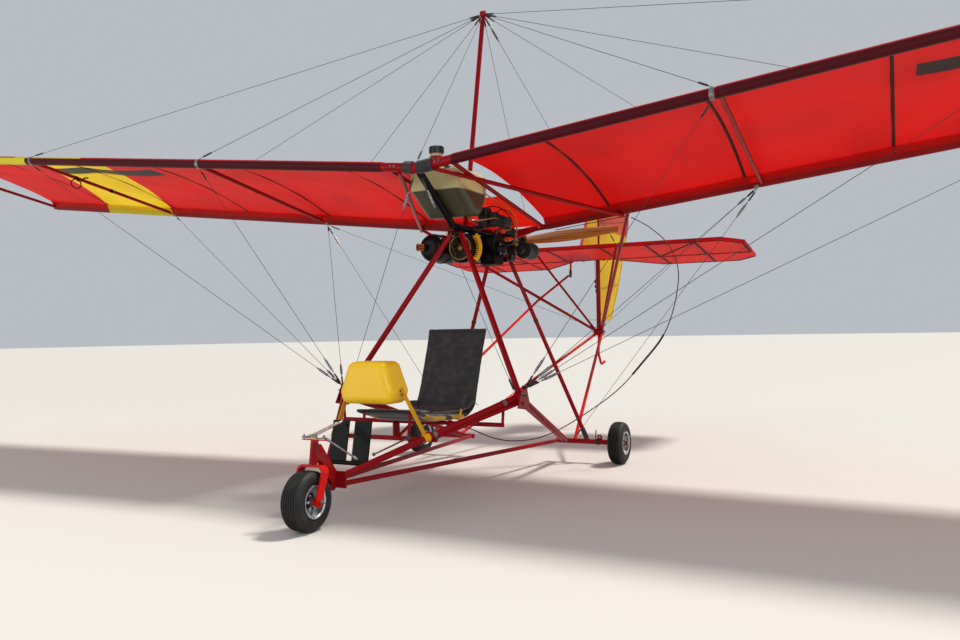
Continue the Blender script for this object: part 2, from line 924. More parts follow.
FINISHES: dict[Slot, Finish] = {
    Slot.RED_TUBE: Enamel("red_stoved_enamel", "8E070E", 0.34, 0.4, "7A4A40", 0.2),
    Slot.BRIGHT_RED: Enamel("signal_red_enamel", "C2120C", 0.34, 0.4, "7A4A40", 0.2),
    Slot.BLACK_METAL: Enamel("black_stoved_enamel", "101011", 0.42, 0.35, "4A4238", 0.15),
    Slot.ENGINE_METAL: Casting("oily_cast_aluminium", "3A3936", 0.55),
    Slot.RED_CLOTH: Sailcloth("red_polyester_sailcloth", "BE0605", 0.5),
    Slot.YELLOW_CLOTH: TwoTone("yellow_polyester_sailcloth", "E8C522", 0.5, "FFE94A", upper="DE6A48",
                               upper_glow="F58A62"),
    Slot.TANK_PLASTIC: FuelTankWall("natural_polyethylene", "B7A878", 0.42),
    Slot.YELLOW_PLASTIC: Moulding("yellow_rotomoulded_polyethylene", "F2C200", 0.34, "FFF0A0", 0.1),
    Slot.YELLOW_METAL: Enamel("yellow_enamel", "E8A612", 0.38, 0.7, "8A7A5C", 0.2),
    Slot.TYRE_RUBBER: Rubber("tyre_rubber_black", "0A0B0D", 0.66, "3A3834"),
    Slot.RIM_ALLOY: SpunAlloy("dull_spun_aluminium", "9A9DA0", 0.46),
    Slot.STEEL: Metal("galvanised_steel", "8D9092", 0.38),
    Slot.BLADE_WOOD: Laminate("varnished_beech_laminate", "C4762E", 0.35),
    Slot.BLACK_PLASTIC: Moulding("black_moulded_nylon", "121314", 0.45, "5C5C5C"),
    Slot.BLACK_WEBBING: Webbing("black_coated_canvas", "161618", 0.7),
    Slot.CABLE_RUBBER: Rubber("cable_sheath_rubber", "1A1512", 0.5, "3A2A20"),
}
STAY_WIRE = Metal("dark_stainless_strand", "3C3E40", 0.4)
NODE_FINISHES: dict[str, Finish] = {"fin": Sailcloth("yellow_fin_sailcloth", "E6C020", 0.5, "FFE648", 0.5),
                                    "flying_wires": STAY_WIRE, "landing_wires": STAY_WIRE}
POCKET_TAPE = Sailcloth("batten_pocket_tape", "300203", 0.8, "500404", 0.1)
CLEAR_HOSE = Moulding("clear_polyurethane_hose", "9A6A2A", 0.25, "E0C890", 0.2)
ZINC_PLATE = Metal("zinc_dichromate_steel", "B8903C", 0.36)


class PaintShop:
    """Builds each finish once and puts it on pieces and CAD nodes."""

    def __init__(self, record: dict) -> None:
        """Build every slot's material.

        Args:
            record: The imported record, whose sub-parts name a slot each.
        """
        self.made = {slot: finish.build() for slot, finish in FINISHES.items()}
        self.slots = {part["node"]: Slot(part["material_slot"]) for part in record["subparts"]}
        self.extra: dict[str, bpy.types.Material] = {}

    def paint(self, piece: Piece, slot: Slot, finish: Finish | None = None, more: bool = False) -> Piece:
        """Cover a piece in a slot's finish, or in another one, which is built once.

        Args:
            piece: The piece.
            slot: The record's slot.
            finish: A finish that differs from the slot's own.
            more: True to keep the finishes that the piece has and add this one.

        Returns:
            The same piece.
        """
        if finish and finish.name not in self.extra:
            self.extra[finish.name] = finish.build()
        if not more:
            piece.data.materials.clear()
        piece.data.materials.append(self.extra[finish.name] if finish else self.made[slot])
        return piece

    def paint_nodes(self, nodes: dict[str, Piece]) -> None:
        """Cover every CAD node in the finish of its slot.

        Args:
            nodes: The nodes by name.
        """
        for name, piece in nodes.items():
            self.paint(piece, self.slots[name], NODE_FINISHES.get(name))
        LOG.info("dressed %d CAD nodes", len(nodes))


# Studio
@dataclass
class Studio:
    """A pale floor, soft light and the photograph's viewpoint."""

    eye: Point = (2.4495, -5.6775, 0.9191)
    azimuth: float = 26.373
    pitch: float = 0.595
    roll: float = -0.982
    lens: float = 31.54
    floor_radius: float = 70.0

    def build(self) -> None:
        """Make the floor, world, lights and camera."""
        select()
        bpy.ops.mesh.primitive_circle_add(vertices=96, radius=self.floor_radius, fill_type="NGON",
                                          location=(0, 0, -0.0005))
        floor = settle("studio_floor")
        paint = bpy.data.materials.new("studio_floor_paint")
        paint.use_nodes = True
        face = paint.node_tree.nodes["Principled BSDF"]
        face.inputs["Roughness"].default_value = 0.85
        face.inputs["Base Color"].default_value = linear("C9C6BF")
        floor.data.materials.append(paint)
        self.light()
        self.camera()

    def light(self) -> None:
        """An even, pale surround, one high soft sun and two wide panels."""
        world = bpy.data.worlds.new("studio_surround")
        bpy.context.scene.world = world
        world.use_nodes = True
        back = world.node_tree.nodes["Background"]
        back.inputs["Color"].default_value = linear("E4EAF2")
        back.inputs["Strength"].default_value = 0.62
        sun = bpy.data.lights.new("soft_sun", "SUN")
        sun.energy, sun.angle, sun.color = 3.5, math.radians(9), (1.0, 0.96, 0.9)
        lamp = bpy.data.objects.new("soft_sun", sun)
        lamp.rotation_euler = (math.radians(-24), math.radians(22), 0)
        bpy.context.scene.collection.objects.link(lamp)
        for name, where, size, power in (("front_panel", (7.0, -9.0, 4.5), 6.0, 260.0),
                                         ("low_panel", (-5.0, -8.0, 2.0), 5.0, 120.0)):
            panel = bpy.data.lights.new(name, "AREA")
            panel.size, panel.energy = size, power
            lamp = bpy.data.objects.new(name, panel)
            lamp.location = where
            lamp.rotation_euler = (Vector((0, -0.5, 1.2)) - Vector(where)).to_track_quat("-Z", "Y").to_euler()
            bpy.context.scene.collection.objects.link(lamp)

    def camera(self) -> None:
        """The photograph's viewpoint, low and ahead of the port wing."""
        turn, tilt, roll = (math.radians(a) for a in (self.azimuth, self.pitch, self.roll))
        ahead = Vector((-math.sin(turn) * math.cos(tilt), math.cos(turn) * math.cos(tilt), math.sin(tilt)))
        level = Vector((math.cos(turn), math.sin(turn), 0))
        up = level.cross(ahead)
        right = level * math.cos(roll) + up * math.sin(roll)
        upright = up * math.cos(roll) - level * math.sin(roll)
        data = bpy.data.cameras.new("photo_camera")
        data.lens, data.sensor_width, data.sensor_fit = self.lens, 36.0, "HORIZONTAL"
        data.clip_end = 400
        eye = bpy.data.objects.new("photo_camera", data)
        axes = Matrix((right, upright, -ahead)).transposed().to_4x4()
        eye.matrix_world = Matrix.Translation(self.eye) @ axes
        bpy.context.scene.collection.objects.link(eye)
        bpy.context.scene.camera = eye
        bpy.context.scene.view_settings.view_transform = "Standard"


@dataclass
class Dress:
    """A set of added pieces, and the paint shop that finishes them."""

    shop: PaintShop

    def fit(self, name: str, pieces: Sequence[Piece], slot: Slot, finish: Finish | None = None,
            body: str = "airframe") -> Piece:
        """Join pieces, finish them and fix them to a body.

        Args:
            name: The joined piece's name.
            pieces: What is joined.
            slot: The record's slot.
            finish: A finish that differs from the slot's own.
            body: The body that carries the piece.

        Returns:
            The joined piece.
        """
        piece = self.shop.paint(joined(name, pieces), slot, finish)
        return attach(piece, body)


# Control cable
@dataclass
class ControlCable(Dress):
    """The long throttle cable that hangs from the port boom to the gland under the seat."""

    diameter: float = 0.007
    length: float = 2.92
    sheath: float = 0.0140
    sheath_span: Flat = (0.325, 0.452)
    route: Sequence[Point] = (
        (838, 2484, 1662), (917, 2494, 1619), (989, 2504, 1565), (1054, 2513, 1503), (1104, 2523, 1428),
        (1135, 2531, 1343), (1146, 2528, 1253), (1137, 2520, 1163), (1123, 2508, 1075), (1102, 2492, 988),
        (1075, 2472, 904), (1038, 2444, 826), (990, 2414, 756), (938, 2380, 689), (891, 2340, 623),
        (845, 2296, 559), (793, 2249, 500), (740, 2198, 449), (688, 2139, 404), (639, 2074, 364),
        (592, 2005, 326), (547, 1935, 291), (501, 1863, 261), (453, 1790, 238), (406, 1714, 226),
        (359, 1636, 225), (312, 1558, 233), (268, 1482, 252), (233, 1404, 283), (212, 1322, 317),
        (204, 1236, 345), (201, 1147, 356), (200, 1056, 356))

    def build(self) -> None:
        """Lay the cable on its route."""
        points = [row(*point) for point in self.route]
        cable = self.fit("throttle_cable", [line("throttle_cable", points, self.diameter / 2, sides=3)],
                         Slot.CABLE_RUBBER, Rubber("brown_cable_sheath", "43180F", 0.5, "5A3426"))
        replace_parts(cable, "control_cable")
        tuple(points[0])
        self.heavy_sheath(cable)

    def heavy_sheath(self, cable: Piece) -> Piece:
        """A thicker black sheath over the stretch of the cable that comes down aft of the port corner.

        Args:
            cable: The cable, whose line the sheath follows.

        Returns:
            The sheath.
        """
        bare = cable.data.copy()
        bare.bevel_depth = 0.0
        probe = bpy.data.objects.new("cable_line", bare)
        traced = bpy.data.meshes.new_from_object(probe)
        run = [tuple(vertex.co) for vertex in traced.vertices]
        bpy.data.objects.remove(probe)
        bpy.data.meshes.remove(traced)
        first, last = (int(len(run) * share) for share in self.sheath_span)
        sheath = hose("cable_heavy_sheath", run[first:last], self.sheath / 2, False)
        return self.fit("cable_heavy_sheath", [sheath], Slot.CABLE_RUBBER)


# Wing
@dataclass
class Wing(Dress):
    """The cambered single-surface sails, their sleeves, batten pockets, spoilers and the centre cloth."""

    inner: float = 0.236
    outer: float = 4.920
    le_tube: float = 0.027
    te_tube: float = 0.020
    camber: float = 0.062
    crown_share: float = 0.40
    battens: Sequence[float] = (0.712, 1.606, 2.451, 3.29, 4.13)
    notch: float = 0.019
    spoiler_x: Flat = (2.56, 3.70)
    spoiler_aft: Flat = (0.410, 0.560)
    centre_half: float = 0.196
    centre_span: Flat = (0.49, 0.98)
    chord: float = field(init=False)
    dip: float = field(init=False)
    arc: tuple[float, float, float] = field(init=False)

    def __post_init__(self) -> None:
        """Work out the chord and the circle through the sail's section."""
        self.chord = math.hypot(TE_Y - LE_Y, LE_Z - TE_Z)
        self.dip = math.asin((LE_Z - TE_Z) / self.chord)
        front, back = self.le_tube + 0.0055, self.te_tube + 0.0055
        crown, at = self.camber + front, self.chord * self.crown_share
        first, second = (crown - front) / at, (back - crown) / (self.chord - at)
        aft = first * second * (front - back) + second * at - first * (at + self.chord)
        aft /= 2 * (second - first)
        up = (front + crown) / 2 - (aft - at / 2) / first
        self.arc = (aft, up, math.hypot(aft, front - up))

    def lift(self, aft: float) -> float:
        """Height of the sail's middle above the chord line."""
        middle, up, radius = self.arc
        return up + math.sqrt(radius ** 2 - (aft - middle) ** 2)

    def point(self, x: float, aft: float, up: float) -> Point:
        """A point given by its distance along the chord and up from it."""
        return (x, LE_Y + math.cos(self.dip) * aft + math.sin(self.dip) * up,
                LE_Z + RISE * abs(x) - math.sin(self.dip) * aft + math.cos(self.dip) * up)

    def section(self) -> list[Flat]:
        """The cloth's path: round the leading tube, over the camber and round the trailing tube.

        Returns:
            Each point's distance along the chord and height above it.
        """
        fore_turns, aft_turns = range(-46, -271, -14), range(75, -136, -15)
        near, far = 0.085, self.chord - 0.075
        back = [polar(self.te_tube + 0.0030, math.radians(turn)) for turn in aft_turns]
        return [(near, self.lift(near) - 0.004),
                *(polar(self.le_tube + 0.0030, math.radians(turn)) for turn in fore_turns),
                *((aft, self.lift(aft)) for aft in spread(0.02, self.chord - 0.012, 30)),
                *((self.chord + aft, up) for aft, up in back), (far, self.lift(far) - 0.004)]

    def build(self) -> None:
        """Make both sails and what is sewn or bolted to them."""
        path = self.section()
        long = sum(math.dist(a, b) for a, b in zip(path, path[1:]))
        port = self.sail(path)
        select(port)
        bpy.ops.object.duplicate()
        bpy.context.object.scale.x = -1
        starboard = mend(settle("starboard_wing_cloth"), 0)
        for cloth, node_name in ((port, "port_sail"), (starboard, "starboard_sail")):
            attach(cloth, "airframe")
            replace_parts(cloth, node_name)
        self.fit("batten_pockets", self.pockets(), Slot.RED_CLOTH, POCKET_TAPE)
        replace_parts(self.fit("spoiler_plates", self.spoilers(), Slot.BLACK_METAL), "spoilers")
        self.centre_cloth()

    def sail(self, path: Sequence[Flat]) -> Piece:
        """The port sail, with a yellow panel and cut-outs at the clamps.

        Args:
            path: The cloth's path round one section.

        Returns:
            The finished cloth.
        """
        edges = [c + side for c in CLAMPS for side in (-self.notch, self.notch)]

        def place(x: float, step: float) -> Point:
            """A point of the cloth, which sags a little between its battens.

            Args:
                x: The station along the span.
                step: The place on the path.

            Returns:
                The point.
            """
            aft, up = path[int(step)]
            share = min(max(aft / self.chord, 0), 1)
            free = 4 * share * (1 - share)
            nearest = min(abs(x - b) for b in (self.inner, *self.battens, self.outer))
            billow = -free * 0.017 * (1 - math.exp(-(nearest / 0.17) ** 2))
            pull = free * 0.003 * math.sin(7.1 * x + 9 * share) * math.sin(13 * share + 1.3 * x)
            on_tube = 0.0 if -0.04 < aft < 0.02 or aft > self.chord - 0.02 else 1.0
            return self.point(x, aft, up + on_tube * (billow + pull))

        stations = spread(self.inner, self.outer, 78, edges)
        cloth = cloth_grid("port_wing_cloth", stations, range(len(path)), place)
        self.shop.paint(cloth, Slot.RED_CLOTH, PanelledSail("panelled_red_sailcloth", "C00504", 0.5))

        def cut_out(at: Vector) -> bool:
            """Tell if a face lies where a clamp goes through the cloth.

            Args:
                at: The face's centre.

            Returns:
                True if the face goes.
            """
            aft = (at.y - LE_Y) * math.cos(self.dip) - (at.z - LE_Z - RISE * at.x) * math.sin(self.dip)
            near_tube = aft < 0.062 or aft > self.chord - 0.045
            return near_tube and any(abs(at.x - c) < self.notch for c in CLAMPS)

        mend(drop_faces(cloth, cut_out), 0)
        return smooth(modify(cloth, "SOLIDIFY", thickness=CLOTH, offset=0), 60)

    def pockets(self) -> list[Piece]:
        """Flat sleeves sewn along the chord, each holding a batten.

        Returns:
            All of them as one piece.
        """
        made = []
        for x in (side * x for x in self.battens for side in SIDES):
            stations = spread(0.035, self.chord - 0.03, 24)
            points = [self.point(x, aft, self.lift(aft) + 0.001) for aft in stations]
            made.append(meshed(line("pocket", points, 0.0042)))
            for vertex in made[-1].data.vertices:
                vertex.co.x = x + (vertex.co.x - x) * 2.4
        return [smooth(joined("batten_pockets", made), 50)]

    def spoilers(self) -> list[Piece]:
        """A thin hinged plate on each sail, bowed to its curve, with a stiffened rear edge.

        Returns:
            The plates and their hinges.
        """
        made = []
        (inner, outer), (front, back) = self.spoiler_x, self.spoiler_aft
        for side in SIDES:
            def place(x: float, aft: float, side: int = side) -> Point:
                """A point just above the sail, its last 12 mm turned up."""
                lip = 0.004 * max(0.0, (aft - back + 0.012) / 0.012)
                return self.point(side * x, aft, self.lift(aft) + 0.0085 + lip)

            deep = spread(front, back, 14, [back - 0.012])
            made.append(plate("spoiler", spread(inner, outer, 24), deep, place, 0.0035))
            for share in (0.12, 0.5, 0.88):
                x = side * (inner + (outer - inner) * share)
                seat = self.point(x, front + 0.004, self.lift(front) + 0.0125)
                made.append(block("spoiler_hinge", seat, (0.045, 0.026, 0.005), 0.0012, 1,
                                  (0, -side * math.degrees(math.atan(RISE)), 0)))
        return made

    def centre_cloth(self) -> None:
        """The small cloth between the root struts."""
        half, (front, back) = self.centre_half, self.centre_span

        def place(u: float, v: float) -> Point:
            """A point of the slack cloth.

            Args:
                u: The place across it.
                v: The place along it, from 0 to 1.

            Returns:
                The point.
            """
            share = front + (back - front) * v
            droop = 0.004 * math.sin(math.pi * v) * math.cos(u / half * math.pi / 2)
            y = LE_Y + (TE_Y - LE_Y) * share
            z = LE_Z + 0.02436 + (TE_Z - LE_Z) * share + 0.0025
            return u, y, z - droop + 0.001 * math.sin(28 * v) * math.sin(40 * u)

        cloth = cloth_grid("centre_cloth", spread(-half, half, 26), spread(0, 1, 34), place)
        smooth(modify(cloth, "SOLIDIFY", thickness=CLOTH, offset=0), 60)
        self.fit("centre_cloth", [cloth], Slot.RED_CLOTH,
                 Sailcloth("faded_centre_sailcloth", "D8350F", 0.5, "FF4A12", 0.6))
        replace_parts(cloth, "centre_sail")


# Wheels
@dataclass
class Wheel(Dress):
    """A ribbed pneumatic tyre, and the rolled lips, dark centre disc, bolts and valve of its rim."""

    name: str
    x: float
    y: float
    side: int
    width: float
    radius: float = 0.140
    rim_radius: float = 0.078
    ribs: int = 5
    dish: float = 0.027

    def outline(self) -> list[Flat]:
        """The tyre's section: beads, bulged walls, rounded shoulders and a ribbed tread.

        Returns:
            Pairs of a place along the axle and a radius.
        """
        half, bead, out = self.width / 2, self.rim_radius + 0.001, self.radius
        wall = [(half - 0.010, bead), (half - 0.004, bead + 0.004), (half - 0.004, bead + 0.009),
                (half - 0.0005, bead + 0.018), (half, bead + 0.028), (half - 0.0015, bead + 0.038),
                (half - 0.006, out - 0.014), (half - 0.014, out - 0.006), (half - 0.020, out - 0.0032)]
        tread = []
        pitch = 2 * (half - 0.022) / self.ribs
        for index in range(self.ribs):
            left = half - 0.022 - index * pitch
            for along, groove in ((left, 0.0065), (left - 0.003, 0), (left - pitch + 0.003, 0),
                                  (left - pitch, 0.0065)):
                tread.append((along, out - groove - 0.0016 * (along / half) ** 2 * 4))
        return [*wall, *tread, *((-far, up) for far, up in reversed(wall)),
                (-(half - 0.012), bead - 0.0006), (half - 0.012, bead - 0.0006)]

    def tyre(self) -> None:
        """Turn the tyre and put it on its wheel."""
        tyre = turned("tyre", self.outline(), (self.x, self.y, self.radius), (1, 0, 0), 72)
        self.fit(self.name + "_ribbed_tyre", [tyre], Slot.TYRE_RUBBER, body=self.name + "_wheel")
        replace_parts(tyre, self.name + "_tyre")

    def rim(self) -> None:
        """Add the small parts of the rim."""
        face, half, body = self.x + self.side * self.dish, self.width / 2, self.name + "_wheel"
        made = []
        for y, z in (polar(0.034, math.radians(60 * step)) for step in range(6)):
            seat = (face + self.side * 0.003, self.y + y, self.radius + z)
            made.append(bolt(seat, (self.side, 0, 0), 0.011, 0.003))
        valve = [(-0.004, 0), (0, 0.004), (0.02, 0.003), (0.022, 0.0045), (0.030, 0.004), (0.030, 0)]
        stem = (face, self.y + 0.058, self.radius + 0.033)
        made.append(turned("valve", valve, stem, (self.side, 0.2, 0.1), 12))
        rolled = ((0.0135, 0.0705), (0.004, 0.0692), (0.0015, 0.0712), (0.0005, 0.0745),
                  (0.0012, 0.0772), (0.004, 0.0776), (0.006, 0.0744), (0.0135, 0.0732))
        lip = [(half - inward, out) for inward, out in rolled]
        made += [turned("lip", lip, (self.x, self.y, self.radius), (way, 0, 0), 64) for way in SIDES]
        self.fit(body + "_bolts", made, Slot.RIM_ALLOY, SpunAlloy("polished_rim_edge", "DADCDE", 0.35), body)
        disc = [(0.0004, 0.0235), (0.0030, 0.0245), (0.0030, 0.0385), (0.0004, 0.0395)]
        self.fit(body + "_bolts_disc", [turned("disc", disc, (face, self.y, self.radius), (self.side, 0, 0))],
                 Slot.BLACK_METAL, body=body)


# Engine
@dataclass
class Engine(Dress):
    """The small parts of the open engine: screen, guard, leads, hoses, bolts and belt."""

    crank_z: float = 1.430
    shaft_z: float = 1.556
    case_front: float = 1.610 - MID_Y
    starter_face: float = 1.5657 - MID_Y
    screen_radius: float = 0.072
    guard_inner: float = 0.0955
    guard_outer: float = 0.1345
    hub_y: float = 2.530 - MID_Y
    hub_half: float = 0.023
    belt_y: float = 2.260 - MID_Y
    belt_half: float = 0.022
    low_pulley: float = 0.0465
    high_pulley: float = 0.0805

    def build(self) -> None:
        """Add every small part to the engine."""
        self.screen()
        self.guard()
        self.lines()
        self.exhaust_tip()
        self.belt()
        self.fasteners()
        self.propeller_plates()

    def screen(self) -> None:
        """An expanded-metal screen over the air inlet, held by a ring and a boss."""
        select()
        bpy.ops.mesh.primitive_grid_add(x_subdivisions=26, y_subdivisions=26, size=0.19,
                                        rotation=(math.radians(90), math.radians(45), 0))
        settle("net").location = (0, self.starter_face - 0.0012, self.crank_z)
        net = drop_faces(settle("net"), lambda at: math.hypot(at.x, at.z - self.crank_z) > self.screen_radius)
        modify(net, "WIREFRAME", thickness=0.0017, use_even_offset=False)
        front = (0, self.starter_face - 0.0042, self.crank_z)
        boss = [(0, 0), (0, 0.014), (0.002, 0.017), (0.004, 0.017), (0.004, 0)]
        made = [net, turned("ring", band(0, 0.004, self.screen_radius - 0.001, 0.0765), front, (0, 1, 0)),
                turned("boss", boss, front, (0, 1, 0), 24)]
        self.fit("inlet_screen", made, Slot.STEEL, Metal("aged_brass_wire", "8E7230", 0.45))

    def guard(self) -> None:
        """The yellow crescent beside the air inlet, and its row of slots."""
        def place(out: float, turn: float) -> Point:
            """A point on the crescent's slightly crowned face."""
            x, z = polar(out, turn)
            return x, self.case_front - 0.0058 - 0.0012 * math.cos(60 * (out - 0.095)), self.crank_z + z

        radii, turns = spread(self.guard_inner, self.guard_outer, 6), spread(-0.74, 0.74, 28)
        liner = plate("liner", radii, turns, place, 0.0012)
        self.fit("guard_liner", [liner], Slot.YELLOW_METAL)
        slots = [block("slot", place(self.guard_inner + 0.009, turn), (0.019, 0.0028, 0.0050), 0.0006)
                 for turn in spread(-0.56, 0.56, 9)]
        self.fit("guard_slots", slots, Slot.BLACK_METAL)

    def lines(self) -> None:
        """Ignition leads, fuel hoses, the primer bulb and the fuel filter."""
        lead = ((262, 1720, 1442), (290, 1720, 1446), (306, 1724, 1486), (300, 1730, 1560), (262, 1742, 1640),
                (180, 1746, 1700), (110, 1746, 1702), (90, 1746, 1690))
        second = ((120, 1790, 1640), (160, 1800, 1690), (230, 1806, 1676), (256, 1800, 1640))
        supply = ((60, 1545, 1622), (72, 1560, 1600), (110, 1610, 1596), (150, 1670, 1612), (186, 1700, 1620),
                  (195, 1728, 1614))
        to_bulb = ((212, 1792, 1606), (226, 1820, 1592), (236, 1830, 1560), (228, 1800, 1546),
                   (216, 1786, 1546))
        to_filter = ((166, 1786, 1546), (150, 1790, 1546), (140, 1800, 1520), (156, 1822, 1498),
                     (176, 1836, 1494))
        to_carb = ((236, 1840, 1494), (252, 1850, 1494), (256, 1890, 1488), (226, 1930, 1484),
                   (190, 1950, 1476), (176, 1962, 1464))
        vent = ((120, 1604, 1800), (160, 1650, 1752), (205, 1720, 1716), (238, 1790, 1690), (262, 1850, 1640),
                (244, 1900, 1560), (214, 1940, 1500), (196, 1955, 1468))
        leads = [hose("lead", (row(*p) for p in run), radius)
                 for run, radius in ((lead, 0.0038), (second, 0.003))]
        self.fit("ignition_leads", leads, Slot.CABLE_RUBBER)
        hoses = [hose("hose", (row(*p) for p in run), 0.004)
                 for run in (supply, to_bulb, to_filter, to_carb, vent)]
        self.fit("fuel_hoses", hoses, Slot.CABLE_RUBBER, CLEAR_HOSE)
        bulb = [(-0.029, 0), (-0.029, 0.006), (-0.02, 0.008), (-0.014, 0.017), (0, 0.021), (0.014, 0.017),
                (0.02, 0.008), (0.029, 0.006), (0.029, 0)]
        self.fit("primer_bulb", [turned("bulb", bulb, row(191, 1786, 1546), (1, 0, 0), 32)], Slot.BRIGHT_RED,
                 Rubber("red_nitrile_rubber", "C8280F", 0.42, "E2602A"))
        case = [(-0.032, 0), (-0.032, 0.005), (-0.022, 0.005), (-0.02, 0.014), (0.02, 0.014), (0.022, 0.005),
                (0.032, 0.005), (0.032, 0)]
        strainer = turned("filter", case, row(206, 1838, 1494), (1, 0, 0), 28)
        self.fit("fuel_filter", [strainer], Slot.BRIGHT_RED,
                 Moulding("orange_acetal", "E0501A", 0.3, "FFB080", 0.15))

    def exhaust_tip(self) -> None:
        """The outlet's heat-coloured end and its lip."""
        start, end = spot(-197, 1550, 1440), spot(-257, 1476, 1440)
        long = (end - start).length
        tip = [(long - 0.036, 0.0212), (long - 0.036, 0.0225), (long - 0.004, 0.0225), (long - 0.002, 0.025),
               (long + 0.002, 0.025), (long + 0.002, 0.0175), (long - 0.001, 0.0170), (long - 0.001, 0.0212)]
        self.fit("exhaust_tip", [turned("tip", tip, start, end - start, 32)], Slot.BLACK_METAL,
                 Metal("heat_coloured_steel", "B4581C", 0.3))

    def belt(self) -> None:
        """The belt round both pulleys."""
        lean = math.asin((self.high_pulley - self.low_pulley) / (self.shaft_z - self.crank_z))
        loop: list[Flat] = []
        for centre, radius, start, end in ((self.crank_z, self.low_pulley, -lean, lean - math.pi),
                                           (self.shaft_z, self.high_pulley, math.pi + lean, -lean)):
            turns = reversed(spread(end, start, 32))
            loop += [(x, centre + z) for x, z in (polar(radius, turn) for turn in turns)]

        def place(y: float, step: float) -> Point:
            """A point on the belt's path round the pulleys."""
            x, z = loop[int(step) % len(loop)]
            return x, y, z

        across = [self.belt_y - self.belt_half, self.belt_y, self.belt_y + self.belt_half]
        closed = mend(cloth_grid("belt", across, range(len(loop) + 1), place))
        belt = mend(modify(closed, "SOLIDIFY", thickness=0.0032, offset=0))
        self.fit("drive_belt", [belt], Slot.CABLE_RUBBER)

    def fasteners(self) -> None:
        """Bolts on the case, the head, the exhaust flange and the coils, and two hose clips."""
        seats = [((x, self.case_front, self.crank_z + z), (0, -1, 0), 0.014, 0.004)
                 for x in (-0.07, 0.07) for z in (-0.076, 0.076)]
        seats += [(row(217.3, y, z), (1, 0, 0), 0.013, 0.005) for y in (1692, 1748) for z in (1392, 1448)]
        seats += [(row(-93.3, 1720, z), (-1, 0, 0), 0.011, 0.004) for z in (1406, 1454)]
        seats += [(row(22.3 + out, 1700 + aft + side, 1573.9), (0, 0, -1), 0.009, 0.003)
                  for out, aft in ((66, 46), (128, 58), (214, 62)) for side in (-20, 20)]
        clips = [clip(row(x, 1970, 1435), (1, 0, 0), 0.0238) for x in (142, 210)]
        self.fit("engine_bolts", [bolt(*seat) for seat in seats] + clips, Slot.STEEL)

    def propeller_plates(self) -> None:
        """Crush plates and six through bolts on the propeller's hub."""
        made = []
        for way, rim in ((-1, 0.0295), (1, 0.004)):
            face = self.hub_y + way * self.hub_half
            outline = [(0, rim), (0, 0.054), (0.003, 0.056), (0.006, 0.054), (0.006, rim)]
            made.append(turned("plate", outline, (0, face, self.shaft_z), (0, way, 0)))
            for x, z in (polar(0.043, math.radians(60 * step + 30)) for step in range(6)):
                made.append(bolt((x, face + way * 0.006, self.shaft_z + z), (0, way, 0), 0.015, 0.004))
        self.fit("propeller_plates", made, Slot.STEEL, ZINC_PLATE, "propeller")


# Fuel tank
@dataclass
class TankDress(Dress):
    """Cap grips, the collar under the neck, the wraps on the spar and the sight tube."""

    neck_y: float = 1.281 - MID_Y
    grip_radius: float = 0.0425

    def build(self) -> None:
        """Add the tank's small parts."""
        grips = []
        for turn in (math.tau * step / 20 for step in range(20)):
            x, y = polar(self.grip_radius, turn)
            grips.append(block("grip", (x, self.neck_y + y, 1.991), (0.005, 0.004, 0.034), 0.0012, 1,
                               (0, 0, math.degrees(turn))))
        self.fit("cap_grips", grips, Slot.BLACK_PLASTIC)
        outline = [(0, 0.0375), (0, 0.044), (0.006, 0.0455), (0.040, 0.0445), (0.046, 0.0435),
                   (0.046, 0.0375)]
        collar = turned("collar", outline, (0, self.neck_y, 1.906), (0, 0, 1))
        self.fit("neck_collar", [collar], Slot.RED_CLOTH,
                 Sailcloth("doubled_red_sailcloth", "8E0605", 0.55, "8E0605", 0.15))
        wraps = []
        for start, end, side in ((0.008, 0.106, 1), (-0.026, -0.079, -1)):
            long = abs(end - start) * math.hypot(1, RISE)
            inner, outer = 0.0332, 0.0372
            turns = [(0, inner), (0, outer)]
            for step in range(1, 8):
                turns += [(long * step / 8 - 0.001, outer), (long * step / 8, outer + 0.0012)]
            wraps.append(turned("wrap", [*turns, (long, outer), (long, inner)],
                                (start, LE_Y, LE_Z + RISE * abs(start)), (side, 0, RISE), 36))
        self.fit("spar_wraps", wraps, Slot.BLACK_WEBBING)
        studs = [bolt((x, LE_Y - 0.031, LE_Z + RISE * abs(x) + 0.002), (0, -1, 0.1), 0.009, 0.002)
                 for x in (0.135, 0.160, -0.135, -0.160)]
        self.fit("spar_studs", studs, Slot.STEEL)
        bends = ((176, 1700), (183, 1706), (183, 1780), (183, 1846), (176, 1852))
        level = hose("level", (row(x, 1560, z) for x, z in bends), 0.0045)
        self.fit("sight_tube", [level], Slot.CABLE_RUBBER, CLEAR_HOSE)


